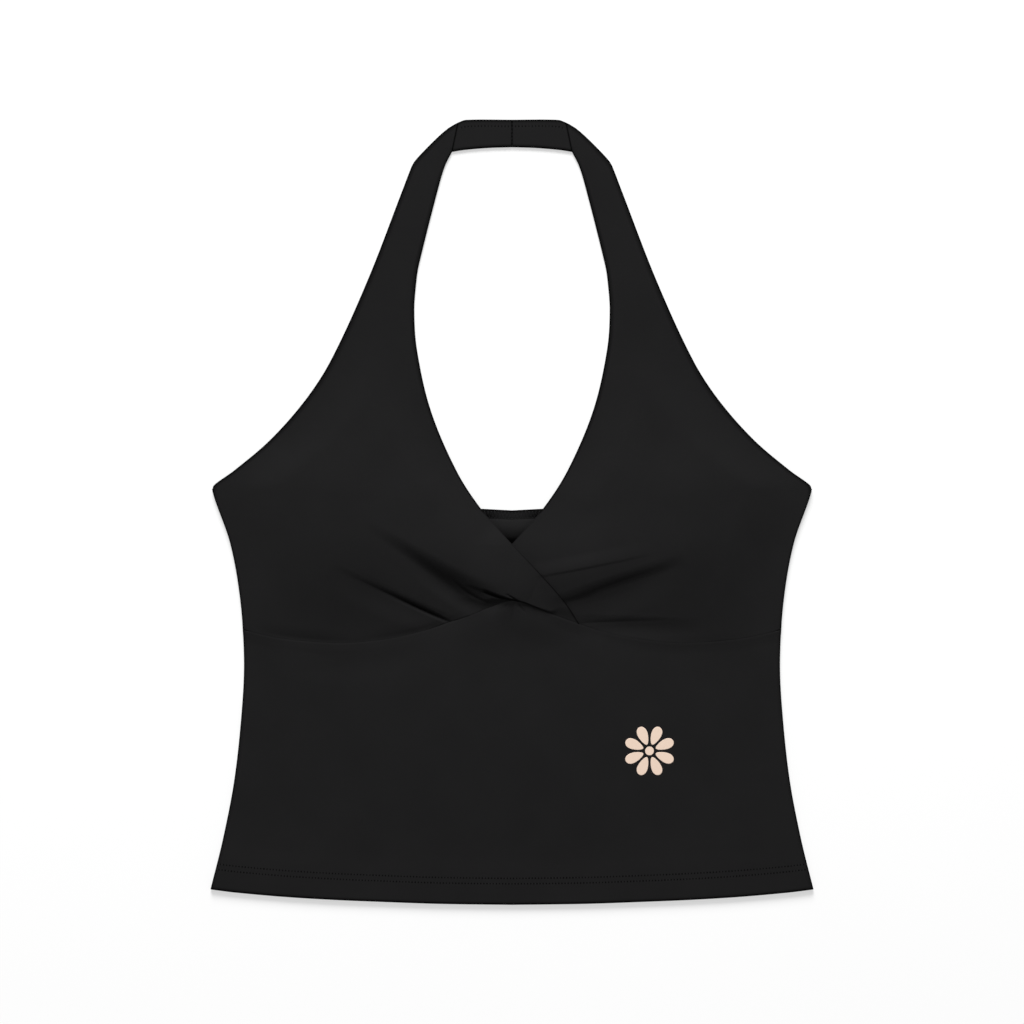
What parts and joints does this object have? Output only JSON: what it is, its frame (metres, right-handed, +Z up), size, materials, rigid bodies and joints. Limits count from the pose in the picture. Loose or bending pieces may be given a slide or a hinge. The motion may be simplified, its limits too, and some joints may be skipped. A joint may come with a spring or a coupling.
{
  "type": "halter neck top",
  "caption": "Black stretch jersey halter neck top laid flat, face up: crossed wrap bust, plain cropped midriff, low straight back and a narrow band behind the neck.",
  "frame": {"origin": "on the surface that the garment lies on, under the middle of its bounding box", "axes": "+X to the right as it lies face up, +Y from the hem to the neck band, +Z up from the surface, out of the front"},
  "size_m": [0.3856, 0.5021, 0.012],
  "materials": {
    "jersey": "matt black fine-gauge stretch jersey with a faint sheen",
    "print": "thin matt peach transfer print"
  },
  "bodies": {
    "root": {"front_panel_left": "jersey", "front_panel_right": "jersey", "midriff_front": "jersey", "back_panel": "jersey", "neck_band_left": "jersey", "neck_band_right": "jersey"}
  },
  "joints": []
}
